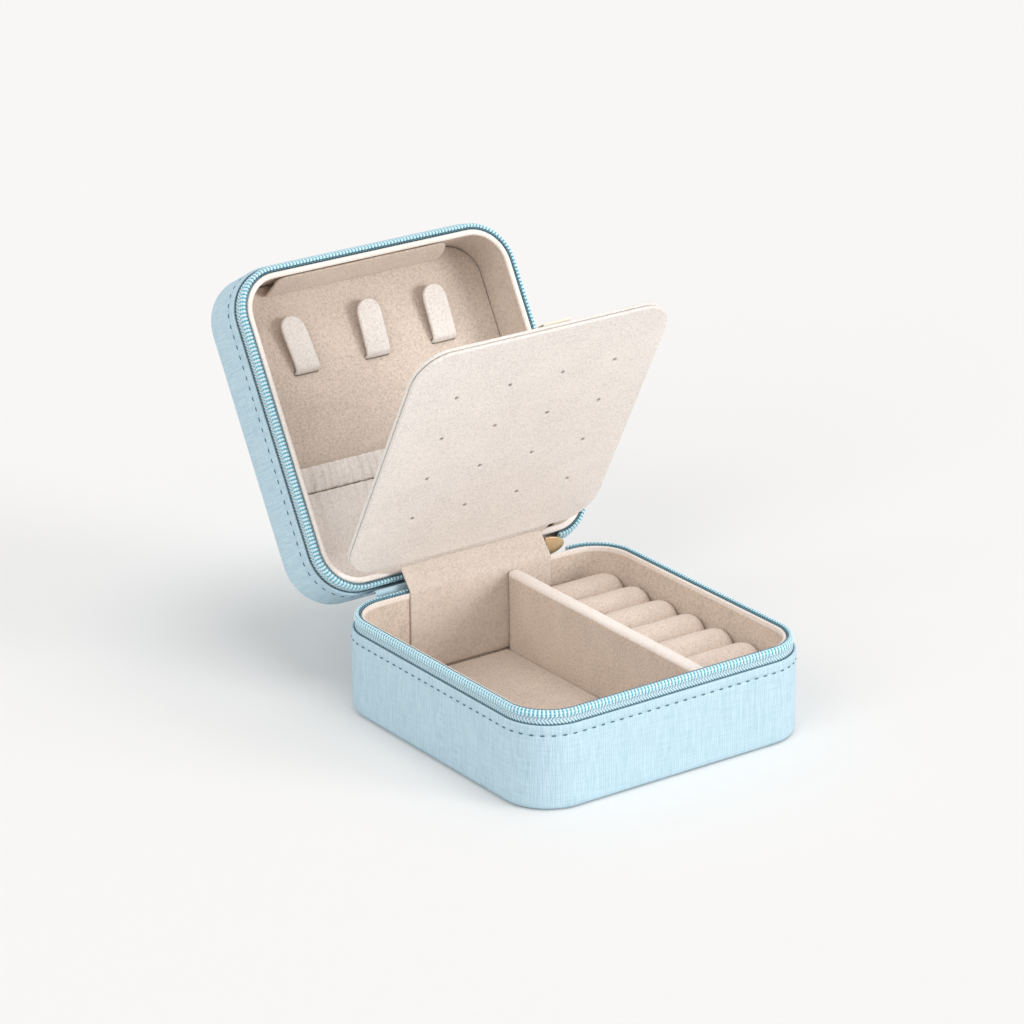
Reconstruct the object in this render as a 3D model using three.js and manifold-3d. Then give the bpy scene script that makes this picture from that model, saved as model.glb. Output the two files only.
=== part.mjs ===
// Travel jewelry case: a square zip case with rounded corners, standing open.
// Millimetres, +Z up. The origin is the centre of the base's underside.
// +X runs along the hinge to the right, -Y is the front, +Y the hinge side.
// The lid is built closed, in the same frame as the base, and then turned open
// about the hinge; the folding flap is built flat and leaned the same way.

import * as THREE from 'three';
import { mergeVertices } from 'three/addons/utils/BufferGeometryUtils.js';
import Module from 'manifold-3d';

const wasm = await Module();
wasm.setup();

// ---- driving dimensions ---------------------------------------------------

const WIDTH = 100;            // outside, along X
const DEPTH = 101.5;          // outside, along Y
const CORNER_R = 15;          // outside corner radius in plan
const CORNER_STEPS = 7;       // flats per corner
const SPLIT_Z = 30.4;         // plane where the two zipper coils meet
const TOTAL_HEIGHT = 51;      // closed height

const SKIN = 0.9;             // leather thickness
const BOARD = 1.8;            // stiff board thickness in the walls
const PLATE = 1.6;            // stiff board thickness in the floor and top
const LINER = 0.8;            // velvet liner thickness
const GAP = 0.1;              // glue line between two layers
const EDGE_R = 2.2;           // rounding of the outer bottom and top edges

const BASE_SKIN_TOP = 25.9;   // folded upper edge of the base leather
const LID_SKIN_EDGE = 35.1;   // folded lower edge of the lid leather, lid closed
const LINER_SETBACK = 1.0;    // liner rim stops this far short of the split

const COIL_OUT = 0.5;         // coil, inset from the outside
const COIL_IN = 2.7;
const COIL_H = 2.4;
const COIL_CLEAR = 0.3;       // half the gap between the closed coils
const TAPE_OUT = 1.25;        // zipper tape, inset from the outside
const TAPE_IN = 1.75;
const TRACK_END_X = -21;      // left end of the zipper track on the hinge side
const TRACK_SKIP = 2;         // corner flats left free beside the parked slider

const HINGE_Y = 51.6;
const HINGE_Z = SPLIT_Z;
const LID_OPEN = 120;         // degrees from closed

const STRIP_X = [-34, 24];    // hinge strip, its two ends
const STRIP_T = 0.6;
const STRIP_LOW = 7;          // height of each half of the strip

const STRAP_X = 0.6;          // centre of the flap strap
const STRAP_W = 51;
const STRAP_T = 0.7;
const STRAP_FOLD_Z = 29.8;
const CREASE_Y = 52.5;        // crease between strap and flap, case open
const CREASE_Z = 36.9;

const FLAP_W = 89.4;
const FLAP_L = 89.5;
const FLAP_R = 11;
const FLAP_BOARD = 1.1;
const FLAP_GLUE = 0.3;
const FLAP_LEAN = 28;         // degrees forward of upright
const STUD_R = 0.65;          // punched stud holes, in rows and columns
const STUD_STEP_X = 18.6;
const STUD_STEP_Y = 16.6;
const STUD_TOP = 19;          // first row, from the free edge
const STUD_SHIFT = 1.2;       // the grid sits a little right of centre
const STUD_ROWS = 4;
const LOOP_X = 3;             // ribbon loop on the free edge
const LOOP_W = 13;
const LOOP_L = 6;
const LOOP_T = 1.4;

const SLIDER_X0 = 24.5;
const SLIDER_X1 = 27.2;
const SLIDER_H = 3.8;
const SLIDER_D = 2.6;         // between the middles of its two plates
const SLIDER_PLATE = 0.7;
const PULL_L = 7;
const PULL_H = 5.8;
const PULL_T = 0.8;
const PULL_GAP = 0.3;

const DIVIDER_X = 12.2;
const DIVIDER_T = 4.4;
const DIVIDER_TOP = 28.1;
const DIVIDER_R = 1.2;        // rounding along its top edges

const ROLLS = 7;
const ROLL_PITCH = 13.3;
const ROLL_R = 6.4;
const ROLL_Z = 15.6;
const ROLL_STEPS = 16;
const BED_TOP = 8.9;

const HOOKS_X = [-24, 1.4, 25.7];
const HOOK_W = 8;
const HOOK_L = 17.5;
const HOOK_T = 1.2;
const HOOK_ROOT_Y = -19;
const HOOK_TILT = 5;          // degrees the tab stands off the ceiling

const LIP_X = [-31, 32.5];
const LIP_T = 0.9;
const LIP_ROOT = [-43.2, 47.1];   // (y, z) of its inner face at the ceiling
const LIP_TIP = [-45.7, 36.2];    // (y, z) of its inner face at the free edge

const POCKET_TOP = 9.6;       // y of the gathered mouth
const HEM_H = 8;
const POCKET_T = 0.9;
const POCKET_STAND = 3.6;     // gap between the pocket panel and the ceiling

// ---- colours --------------------------------------------------------------

const LOOKS = {
  leather: { color: 0xa9cfe0, roughness: 0.55, metalness: 0 },
  board: { color: 0x9a958c, roughness: 0.95, metalness: 0 },
  velvet: { color: 0xd9c9bb, roughness: 1, metalness: 0 },
  tape: { color: 0x6fb6cc, roughness: 0.9, metalness: 0 },
  coil: { color: 0xa5d8ea, roughness: 0.5, metalness: 0 },
  ribbon: { color: 0xf0e8d4, roughness: 0.5, metalness: 0 },
  slider: { color: 0x2f3336, roughness: 0.45, metalness: 0.8 },
  pull: { color: 0xd9bd8e, roughness: 0.35, metalness: 0.6 },
};

// ---- solids and booleans ---------------------------------------------------

function toManifold(geometry) {
  const g = geometry.index ? geometry.toNonIndexed() : geometry.clone();
  g.deleteAttribute('normal');
  g.deleteAttribute('uv');
  const m = mergeVertices(g, 1e-5);
  return new wasm.Manifold(new wasm.Mesh({
    numProp: 3,
    vertProperties: new Float32Array(m.attributes.position.array),
    triVerts: new Uint32Array(m.index.array),
  }));
}

function fromManifold(solid) {
  const mesh = solid.getMesh();
  const geometry = new THREE.BufferGeometry();
  geometry.setAttribute('position', new THREE.BufferAttribute(mesh.vertProperties, 3));
  geometry.setIndex(new THREE.BufferAttribute(mesh.triVerts, 1));
  geometry.computeVertexNormals();
  return geometry;
}

const cut = (a, ...tools) => fromManifold(
  tools.reduce((solid, tool) => solid.subtract(toManifold(tool)), toManifold(a)));

const join = (a, ...others) => fromManifold(
  others.reduce((solid, other) => solid.add(toManifold(other)), toManifold(a)));

const common = (a, b) => fromManifold(toManifold(a).intersect(toManifold(b)));

function block(x0, x1, y0, y1, z0, z1) {
  const g = new THREE.BoxGeometry(x1 - x0, y1 - y0, z1 - z0);
  return g.translate((x0 + x1) / 2, (y0 + y1) / 2, (z0 + z1) / 2);
}

function extrudeUp(shape, z0, z1) {
  const g = new THREE.ExtrudeGeometry(shape, { depth: z1 - z0, bevelEnabled: false, curveSegments: 1 });
  return g.translate(0, 0, z0);
}

// ---- plan outlines -----------------------------------------------------------

// Points of the rounded square at a given inset, counterclockwise, starting
// where the back-right corner begins on the right side. Each corner gives
// CORNER_STEPS + 1 points.
function outline(inset) {
  const r = CORNER_R - inset;
  const cx = WIDTH / 2 - CORNER_R;
  const cy = DEPTH / 2 - CORNER_R;
  const centres = [[cx, cy], [-cx, cy], [-cx, -cy], [cx, -cy]];
  return centres.flatMap(([x, y], k) => Array.from({ length: CORNER_STEPS + 1 }, (_, i) => {
    const a = (k + i / CORNER_STEPS) * Math.PI / 2;
    return new THREE.Vector2(x + r * Math.cos(a), y + r * Math.sin(a));
  }));
}

function plate(inset, z0, z1) {
  return extrudeUp(new THREE.Shape(outline(inset)), z0, z1);
}

function wallRing(outer, inner, z0, z1) {
  const shape = new THREE.Shape(outline(outer));
  shape.holes.push(new THREE.Path(outline(inner)));
  return extrudeUp(shape, z0, z1);
}

// The zipper runs round three sides and both hinge-side corners: it starts on
// the hinge side left of the strap and stops short of the parked slider.
function trackPath(inset) {
  const points = outline(inset);
  const start = new THREE.Vector2(TRACK_END_X, DEPTH / 2 - inset);
  const body = points.slice(CORNER_STEPS + 1);
  const lastCorner = points.slice(0, CORNER_STEPS + 1 - TRACK_SKIP);
  return [start, ...body, ...lastCorner];
}

function track(outer, inner, z0, z1) {
  const shape = new THREE.Shape([...trackPath(outer), ...trackPath(inner).reverse()]);
  return extrudeUp(shape, z0, z1);
}

// A shallow tray with a rounded outer edge where the wall turns into the floor.
function tray(height) {
  const outer = new THREE.ExtrudeGeometry(new THREE.Shape(outline(0)), {
    depth: height,
    bevelEnabled: true,
    bevelThickness: EDGE_R,
    bevelSize: EDGE_R,
    bevelOffset: -EDGE_R,
    bevelSegments: 3,
    curveSegments: 1,
  }).translate(0, 0, EDGE_R);
  const above = block(-WIDTH, WIDTH, -DEPTH, DEPTH, height, height + 4 * EDGE_R);
  return cut(outer, above, plate(SKIN, SKIN, height + 4 * EDGE_R));
}

// A rounded rectangle lying in XY, its lower edge centred on the origin.
function card(width, length, r, z0, z1, holes = []) {
  const h = width / 2;
  const shape = new THREE.Shape();
  shape.moveTo(-h + r, 0);
  shape.lineTo(h - r, 0);
  shape.absarc(h - r, r, r, -Math.PI / 2, 0);
  shape.lineTo(h, length - r);
  shape.absarc(h - r, length - r, r, 0, Math.PI / 2);
  shape.lineTo(-h + r, length);
  shape.absarc(-h + r, length - r, r, Math.PI / 2, Math.PI);
  shape.lineTo(-h, r);
  shape.absarc(-h + r, r, r, Math.PI, Math.PI * 1.5);
  shape.holes.push(...holes);
  const g = new THREE.ExtrudeGeometry(shape, { depth: z1 - z0, bevelEnabled: false, curveSegments: 5 });
  return g.translate(0, 0, z0);
}

// ---- scene graph ----------------------------------------------------------------

const jewelryCase = new THREE.Group();
const base = new THREE.Group();
const lid = new THREE.Group();
const flap = new THREE.Group();
jewelryCase.add(base, lid, flap);

lid.position.set(0, HINGE_Y, HINGE_Z);
lid.rotation.x = THREE.MathUtils.degToRad(-LID_OPEN);

flap.position.set(0, CREASE_Y, CREASE_Z);
flap.rotation.x = THREE.MathUtils.degToRad(90 + FLAP_LEAN);

function add(parent, name, look, geometry) {
  const mesh = new THREE.Mesh(geometry, new THREE.MeshStandardMaterial(LOOKS[look]));
  mesh.name = name;
  parent.add(mesh);
  return mesh;
}

// A lid piece is built closed and shifted so that the hinge line is its origin.
const addLid = (name, look, geometry) => add(lid, name, look, geometry.translate(0, -HINGE_Y, -HINGE_Z));

// Insets of the layers, from the leather inwards.
const boardOut = SKIN + GAP;
const boardIn = boardOut + BOARD;
const linerOut = boardIn + GAP;
const linerIn = linerOut + LINER;
const insideX = WIDTH / 2 - linerIn;
const insideY = DEPTH / 2 - linerIn;

// ---- base ------------------------------------------------------------------------

const floorBoardTop = SKIN + GAP + PLATE;
const floorTop = floorBoardTop + GAP + LINER;
const wallFoot = floorBoardTop + GAP;

add(base, 'base_cover', 'leather', tray(BASE_SKIN_TOP));
add(base, 'base_bottom_board', 'board', plate(boardOut, SKIN + GAP, floorBoardTop));
add(base, 'base_wall_board', 'board', wallRing(boardOut, boardIn, wallFoot, BASE_SKIN_TOP - GAP));
add(base, 'base_liner', 'velvet', wallRing(linerOut, linerIn, wallFoot, SPLIT_Z - LINER_SETBACK));

const baseTape = track(TAPE_OUT, TAPE_IN, BASE_SKIN_TOP + GAP, SPLIT_Z - COIL_CLEAR - COIL_H);
const baseCoil = track(COIL_OUT, COIL_IN, SPLIT_Z - COIL_CLEAR - COIL_H, SPLIT_Z - COIL_CLEAR);
add(base, 'base_zipper_tape', 'tape', baseTape);
add(base, 'base_zipper_coil', 'coil', baseCoil);

const dividerLeft = DIVIDER_X - DIVIDER_T / 2;
const dividerRight = DIVIDER_X + DIVIDER_T / 2;
// The divider stands between the strap on the back wall and the front liner.
const dividerBack = insideY - 2 * GAP - STRAP_T;
const dividerProfile = new THREE.Shape();
const crownX = DIVIDER_T / 2 - DIVIDER_R;
const crownZ = DIVIDER_TOP - DIVIDER_R;
dividerProfile.moveTo(-DIVIDER_T / 2, wallFoot);
dividerProfile.lineTo(DIVIDER_T / 2, wallFoot);
dividerProfile.absarc(crownX, crownZ, DIVIDER_R, 0, Math.PI / 2);
dividerProfile.absarc(-crownX, crownZ, DIVIDER_R, Math.PI / 2, Math.PI);
dividerProfile.lineTo(-DIVIDER_T / 2, wallFoot);
const dividerLength = insideY - GAP + dividerBack;
const dividerSolid = new THREE.ExtrudeGeometry(dividerProfile, {
  depth: dividerLength,
  bevelEnabled: false,
  curveSegments: 4,
});
dividerSolid.rotateX(Math.PI / 2);
dividerSolid.translate(DIVIDER_X, dividerBack, 0);
add(base, 'divider', 'velvet', dividerSolid);

// The left compartment has a velvet floor; the right one a foam bed for rolls.
const insidePlan = plate(linerIn + GAP, wallFoot, SPLIT_Z);
const leftHalf = block(-WIDTH, dividerLeft - GAP, -DEPTH, dividerBack, wallFoot, floorTop);
const rightHalf = block(dividerRight + GAP, WIDTH, -DEPTH, dividerBack, wallFoot, BED_TOP);
add(base, 'base_floor_pad', 'velvet', common(insidePlan, leftHalf));
add(base, 'ring_bed', 'velvet', common(insidePlan, rightHalf));

// Ring rolls lie along X between divider and right wall, side by side along Y.
const rollLeft = dividerRight + GAP;
const rollLength = insideX - GAP - rollLeft;
for (let i = 0; i < ROLLS; i += 1) {
  const roll = new THREE.CylinderGeometry(ROLL_R, ROLL_R, rollLength, ROLL_STEPS);
  roll.rotateY(Math.PI / ROLL_STEPS);
  roll.rotateZ(Math.PI / 2);
  roll.translate(rollLeft + rollLength / 2, ((ROLLS - 1) / 2 - i) * ROLL_PITCH, ROLL_Z);
  add(base, `ring_roll_${i + 1}`, 'velvet', common(roll, insidePlan));
}

// The strap is glued down the back wall and leaves it at the fold.
const strapMid = insideY - GAP - STRAP_T / 2;
const strapLeft = STRAP_X - STRAP_W / 2;
const strapRight = STRAP_X + STRAP_W / 2;
const anchor = block(strapLeft, strapRight, strapMid - STRAP_T / 2, strapMid + STRAP_T / 2,
  floorTop + GAP, STRAP_FOLD_Z - STRAP_T / 2 - GAP);
add(base, 'strap_anchor', 'velvet', anchor);

// Leather strip behind the hinge, one half on the base and one on the lid.
const stripY = DEPTH / 2 + GAP;
add(base, 'base_hinge_strip', 'leather',
  block(...STRIP_X, stripY, stripY + STRIP_T, SPLIT_Z - STRIP_LOW, SPLIT_Z - GAP));

// ---- lid --------------------------------------------------------------------------

const topBoardLow = TOTAL_HEIGHT - SKIN - GAP - PLATE;
const ceiling = topBoardLow - GAP - LINER;
const lidWallTop = topBoardLow - GAP;

const lidCover = tray(TOTAL_HEIGHT - LID_SKIN_EDGE).rotateX(Math.PI).translate(0, 0, TOTAL_HEIGHT);
addLid('lid_cover', 'leather', lidCover);
addLid('lid_top_board', 'board', plate(boardOut, topBoardLow, TOTAL_HEIGHT - SKIN - GAP));
addLid('lid_wall_board', 'board', wallRing(boardOut, boardIn, LID_SKIN_EDGE + GAP, lidWallTop));
addLid('lid_liner', 'velvet', wallRing(linerOut, linerIn, SPLIT_Z + LINER_SETBACK / 2, lidWallTop));
addLid('lid_zipper_tape', 'tape',
  track(TAPE_OUT, TAPE_IN, SPLIT_Z + COIL_CLEAR + COIL_H, LID_SKIN_EDGE - GAP));
addLid('lid_zipper_coil', 'coil',
  track(COIL_OUT, COIL_IN, SPLIT_Z + COIL_CLEAR, SPLIT_Z + COIL_CLEAR + COIL_H));
addLid('lid_hinge_strip', 'leather',
  block(...STRIP_X, stripY, stripY + STRIP_T, SPLIT_Z + 2 * GAP, SPLIT_Z + STRIP_LOW));

// The ceiling pad has three slits, each taking the root of a necklace hook.
const slits = HOOKS_X.map((x) => block(x - HOOK_W / 2 - GAP, x + HOOK_W / 2 + GAP,
  HOOK_ROOT_Y - HOOK_T / 2 - GAP, HOOK_ROOT_Y + HOOK_T / 2 + GAP, ceiling - 1, ceiling + LINER + 1));
addLid('lid_ceiling_pad', 'velvet', cut(plate(linerIn + GAP, ceiling, ceiling + LINER), ...slits));

HOOKS_X.forEach((x, i) => {
  const root = block(-HOOK_W / 2, HOOK_W / 2, -HOOK_T / 2, HOOK_T / 2, -1.5 * HOOK_T, LINER - GAP);
  const tabShape = new THREE.Shape();
  tabShape.moveTo(-HOOK_W / 2, -HOOK_T / 2);
  tabShape.lineTo(HOOK_W / 2, -HOOK_T / 2);
  tabShape.lineTo(HOOK_W / 2, HOOK_L - HOOK_W / 2);
  tabShape.absarc(0, HOOK_L - HOOK_W / 2, HOOK_W / 2, 0, Math.PI);
  tabShape.lineTo(-HOOK_W / 2, -HOOK_T / 2);
  const tab = new THREE.ExtrudeGeometry(tabShape, { depth: HOOK_T, bevelEnabled: false, curveSegments: 5 });
  tab.rotateZ(Math.PI);
  tab.rotateX(THREE.MathUtils.degToRad(HOOK_TILT));
  tab.translate(0, 0, -2 * HOOK_T);
  addLid(`necklace_hook_${i + 1}`, 'velvet', join(root, tab).translate(x, HOOK_ROOT_Y, ceiling));
});

// The catch lip stands off the front wall and keeps the flap's free edge.
const lipShape = new THREE.Shape([
  new THREE.Vector2(...LIP_ROOT),
  new THREE.Vector2(LIP_ROOT[0] - LIP_T, LIP_ROOT[1]),
  new THREE.Vector2(LIP_TIP[0] - LIP_T, LIP_TIP[1]),
  new THREE.Vector2(...LIP_TIP),
]);
const lip = new THREE.ExtrudeGeometry(lipShape, { depth: LIP_X[1] - LIP_X[0], bevelEnabled: false });
lip.applyMatrix4(new THREE.Matrix4().makeBasis(
  new THREE.Vector3(0, 1, 0), new THREE.Vector3(0, 0, 1), new THREE.Vector3(1, 0, 0)));
addLid('catch_lip', 'velvet', lip.translate(LIP_X[0], 0, 0));

// The elastic pocket is a panel in front of the ceiling with a thicker hem.
const pocketLow = ceiling - POCKET_STAND - POCKET_T;
const pocketPlan = plate(linerIn + 2 * GAP, pocketLow - 1, ceiling);
addLid('pocket_panel', 'velvet', common(pocketPlan,
  block(-WIDTH, WIDTH, POCKET_TOP + HEM_H + GAP, DEPTH, pocketLow, pocketLow + POCKET_T)));
addLid('pocket_hem', 'velvet', common(pocketPlan,
  block(-WIDTH, WIDTH, POCKET_TOP, POCKET_TOP + HEM_H, pocketLow - POCKET_T / 2, pocketLow + POCKET_T)));

// ---- strap and flap ------------------------------------------------------------------

// The free part of the strap leans from the fold back to the crease.
const strapRise = CREASE_Z - STRAP_FOLD_Z;
const strapRun = CREASE_Y - strapMid;
const strapFree = Math.hypot(strapRise, strapRun);
const strapTilt = Math.atan2(strapRun, strapRise);
const link = block(strapLeft, strapRight, -STRAP_T / 2, STRAP_T / 2, 0, strapFree - FLAP_BOARD / 2);
const strap = add(jewelryCase, 'strap_link', 'velvet', link);
strap.position.set(0, strapMid, STRAP_FOLD_Z);
strap.rotation.x = -strapTilt;

// The flap's own frame: X to the right, Y from the crease to the free edge,
// Z out of its front face. Two velvet-wrapped boards are glued back to back;
// the front one carries the punched stud holes and hinges on the strap.
const flapFoot = FLAP_BOARD / 2;
const studHoles = [];
for (let row = 0; row < STUD_ROWS; row += 1) {
  for (let column = 0; column < STUD_ROWS; column += 1) {
    const hole = new THREE.Path();
    const x = STUD_SHIFT + (column - (STUD_ROWS - 1) / 2) * STUD_STEP_X;
    hole.absarc(x, FLAP_L - STUD_TOP - row * STUD_STEP_Y, STUD_R, 0, Math.PI * 2, true);
    studHoles.push(hole);
  }
}
const flapBack = -FLAP_BOARD / 2 - FLAP_GLUE - FLAP_BOARD;
add(flap, 'flap_front_board', 'velvet',
  card(FLAP_W, FLAP_L, FLAP_R, -FLAP_BOARD / 2, FLAP_BOARD / 2, studHoles).translate(0, flapFoot, 0));
add(flap, 'flap_back_board', 'velvet',
  card(FLAP_W, FLAP_L, FLAP_R, flapBack, flapBack + FLAP_BOARD).translate(0, flapFoot, 0));

// A folded ribbon loop behind the free edge, to pull the flap by.
const loopTop = flapFoot + FLAP_L - LOOP_T / 2;
add(flap, 'ribbon_loop', 'ribbon', block(LOOP_X - LOOP_W / 2, LOOP_X + LOOP_W / 2,
  loopTop - LOOP_L, loopTop, flapBack - FLAP_GLUE - LOOP_T, flapBack - FLAP_GLUE));

// ---- zipper slider and pull --------------------------------------------------------------

// The slider is parked on the hinge line: two plates joined by a post.
const sliderPlate = (y) => block(SLIDER_X0, SLIDER_X1, y - SLIDER_PLATE / 2, y + SLIDER_PLATE / 2,
  HINGE_Z - SLIDER_H / 2, HINGE_Z + SLIDER_H / 2);
const sliderPost = block(SLIDER_X0 + SLIDER_PLATE, SLIDER_X1 - SLIDER_PLATE,
  HINGE_Y - SLIDER_D / 2, HINGE_Y + SLIDER_D / 2, HINGE_Z - SLIDER_PLATE, HINGE_Z + SLIDER_PLATE);
add(jewelryCase, 'zipper_slider', 'slider',
  join(sliderPost, sliderPlate(HINGE_Y - SLIDER_D / 2), sliderPlate(HINGE_Y + SLIDER_D / 2)));

// The pull is a flat half disc standing beside the slider, straight edge inwards.
const pullShape = new THREE.Shape();
pullShape.moveTo(0, -PULL_H / 2);
pullShape.absellipse(0, 0, PULL_L, PULL_H / 2, -Math.PI / 2, Math.PI / 2, false, 0);
pullShape.lineTo(0, -PULL_H / 2);
const pull = new THREE.ExtrudeGeometry(pullShape, { depth: PULL_T, bevelEnabled: false, curveSegments: 7 });
pull.rotateX(Math.PI / 2);
pull.translate(SLIDER_X1 + PULL_GAP, HINGE_Y + PULL_T / 2, HINGE_Z);
add(jewelryCase, 'zipper_pull', 'pull', pull);

export default jewelryCase;
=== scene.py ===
"""Looks of a travel jewelry case: leatherette shells, zipper, velvet lining and folding flap.

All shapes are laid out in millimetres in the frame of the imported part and
scaled to metres as each piece is finished. Lid pieces are drawn closed and
turned open about the hinge; flap pieces are drawn flat and leaned.
"""

import math

import bmesh
import bpy
import numpy as np
from mathutils import Matrix, Vector, noise


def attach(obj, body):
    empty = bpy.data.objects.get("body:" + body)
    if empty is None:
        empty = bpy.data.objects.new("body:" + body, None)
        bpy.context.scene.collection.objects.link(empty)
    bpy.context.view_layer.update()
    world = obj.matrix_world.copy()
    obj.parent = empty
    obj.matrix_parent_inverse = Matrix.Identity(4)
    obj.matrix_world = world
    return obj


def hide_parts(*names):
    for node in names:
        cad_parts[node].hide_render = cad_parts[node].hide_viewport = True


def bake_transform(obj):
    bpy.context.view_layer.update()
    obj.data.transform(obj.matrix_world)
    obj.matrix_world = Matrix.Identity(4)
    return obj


bl_info = {
    "name": "Travel Jewelry Case",
    "version": (1, 0, 0),
    "blender": (4, 5, 0),
    "location": "View3D > Sidebar > Jewelry Case",
    "description": "Dresses the packed travel jewelry case in leatherette, zipper and velvet",
    "category": "Object",
}

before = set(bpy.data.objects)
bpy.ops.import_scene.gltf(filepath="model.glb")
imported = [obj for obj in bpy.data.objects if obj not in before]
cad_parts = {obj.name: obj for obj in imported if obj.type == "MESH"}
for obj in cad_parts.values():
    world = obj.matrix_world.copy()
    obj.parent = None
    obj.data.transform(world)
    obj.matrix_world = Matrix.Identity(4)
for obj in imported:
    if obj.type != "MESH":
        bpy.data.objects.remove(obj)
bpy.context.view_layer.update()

# ---- sizes of the case, in millimetres ---------------------------------------

WIDTH = 100.0
DEPTH = 101.5
CORNER = 15.0
TOTAL = 51.0
SPLIT = 30.4
SKIN_TOP = 25.9
LID_SKIN = 35.1
HINGE = (51.6, 30.4)
LINER_OUT = 2.9
LINER_IN = 3.7
FLOOR = 2.7
CEILING = 47.5
HINGE_STRIP = (-34, 24)
SLIDER = (24.5, 27.2)
ROLL_RADIUS = 6.4
ROLL_PITCH = 13.3
ROLL_HEIGHT = 15.6
ROLL_LIMIT = 46.85
HOOKS = (-24.0, 1.4, 25.7)
HOOK_ROOT = -19.0
HOOK_HALF = 4.2
STUD_PITCH = (18.6, 16.6)
STUD_RADIUS = 0.65

MM = Matrix.Scale(0.001, 4)


def turned(y, z, degrees):
    """Placement whose origin is (0, y, z), turned about X."""
    return Matrix.Translation((0, y, z)) @ Matrix.Rotation(math.radians(degrees), 4, "X")


LID = turned(*HINGE, -120) @ Matrix.Translation((0, -HINGE[0], -HINGE[1]))
STRAP = turned(46.6, 29.8, -39.7)
FLAP = turned(52.5, 36.9, 118)
PLACE = {"base": None, "lid": LID}


# ---- mesh tools ------------------------------------------------------------------


def plan(per_corner=12, per_side=16):
    """Spine points and outward normals of the rounded square, anticlockwise
    from the front end of the back-right corner."""
    cx, cy = WIDTH / 2 - CORNER, DEPTH / 2 - CORNER
    centres = [(cx, cy), (-cx, cy), (-cx, -cy), (cx, -cy)]
    rows = []
    for k, (x, y) in enumerate(centres):
        for i in range(per_corner + 1):
            a = (k + i / per_corner) * math.pi / 2
            rows.append((x, y, math.cos(a), math.sin(a)))
        nx, ny = centres[(k + 1) % 4]
        a = (k + 1) * math.pi / 2
        for i in range(1, per_side):
            t = i / per_side
            rows.append((x + (nx - x) * t, y + (ny - y) * t, math.cos(a), math.sin(a)))
    return np.array(rows)


def outline(inset, per_corner=12, per_side=16):
    p = plan(per_corner, per_side)
    return p[:, :2] + p[:, 2:] * (CORNER - inset)


def lengths(points, closed):
    """Running length along a row of points; closed rows get one more entry."""
    p = np.asarray(points, float)
    if closed:
        p = np.vstack([p, p[:1]])
    steps = np.linalg.norm(np.diff(p, axis=0), axis=1)
    return np.concatenate([[0], np.cumsum(steps)])


def grid_mesh(name, points, wrap_rows=False, wrap_columns=False, caps=True):
    """Mesh of an array of points [row, column, xyz]; its UV is in metres along rows and columns."""
    points = np.asarray(points, float)
    n, m, _ = points.shape
    u = lengths(points[:, m // 2], wrap_rows) / 1000
    v = lengths(points[n // 2], wrap_columns) / 1000
    bm = bmesh.new()
    uv = bm.loops.layers.uv.new("weave")
    verts = [[bm.verts.new(p) for p in row] for row in points]
    for i in range(n if wrap_rows else n - 1):
        for j in range(m if wrap_columns else m - 1):
            a, b = (i + 1) % n, (j + 1) % m
            face = bm.faces.new((verts[i][j], verts[a][j], verts[a][b], verts[i][b]))
            spots = ((u[i], v[j]), (u[i + 1], v[j]), (u[i + 1], v[j + 1]), (u[i], v[j + 1]))
            for loop, spot in zip(face.loops, spots):
                loop[uv].uv = spot
    ends = []
    if caps and wrap_rows and not wrap_columns:
        ends = [[row[0] for row in verts], [row[-1] for row in verts]]
    if caps and wrap_columns and not wrap_rows:
        ends = [verts[0], verts[-1]]
    for loop_verts in ends:
        face = bm.faces.new(loop_verts)
        for loop in face.loops:
            loop[uv].uv = (loop.vert.co.x / 1000, (loop.vert.co.y + loop.vert.co.z) / 1000)
    bmesh.ops.remove_doubles(bm, verts=bm.verts, dist=1e-5)
    bmesh.ops.recalc_face_normals(bm, faces=bm.faces)
    mesh = bpy.data.meshes.new(name)
    bm.to_mesh(mesh)
    bm.free()
    return mesh


def sweep(name, path, profile, closed=True, loop_profile=True, lean=None):
    """Profile points (inset, z) carried along the plan path; lean(row) adds to the inset near the top."""
    rows = []
    top = max(z for _, z in profile)
    low = min(z for _, z in profile)
    for x, y, nx, ny in path:
        row = []
        for inset, z in profile:
            shift = lean(x, y) * (z - low) / (top - low) if lean else 0
            r = CORNER - inset - shift
            row.append((x + nx * r, y + ny * r, z))
        rows.append(row)
    return grid_mesh(name, rows, wrap_rows=closed, wrap_columns=loop_profile)


def with_modifiers(mesh, add):
    """Result of modifiers, which add(object) puts on a throwaway object of the mesh."""
    obj = bpy.data.objects.new("work", mesh)
    bpy.context.scene.collection.objects.link(obj)
    add(obj)
    graph = bpy.context.evaluated_depsgraph_get()
    result = bpy.data.meshes.new_from_object(
        obj.evaluated_get(graph), preserve_all_data_layers=True, depsgraph=graph
    )
    bpy.data.objects.remove(obj)
    return result


def level_weave(mesh):
    """Straight weave on the level faces of a swept shell."""
    weave = mesh.uv_layers["weave"].data
    for face in mesh.polygons:
        if abs(face.normal.z) > 0.8:
            for corner in face.loop_indices:
                spot = mesh.vertices[mesh.loops[corner].vertex_index].co
                weave[corner].uv = (spot.x / 1000, spot.y / 1000)


def soft(mesh, thickness=0.0, levels=2):
    """A sheet given thickness and rounded rims, or a closed shape made smooth."""

    def add(obj):
        if thickness:
            wall = obj.modifiers.new("wall", "SOLIDIFY")
            wall.thickness = thickness
            wall.offset = 0
        smooth = obj.modifiers.new("smooth", "SUBSURF")
        smooth.levels = smooth.render_levels = levels

    return with_modifiers(mesh, add)


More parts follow.
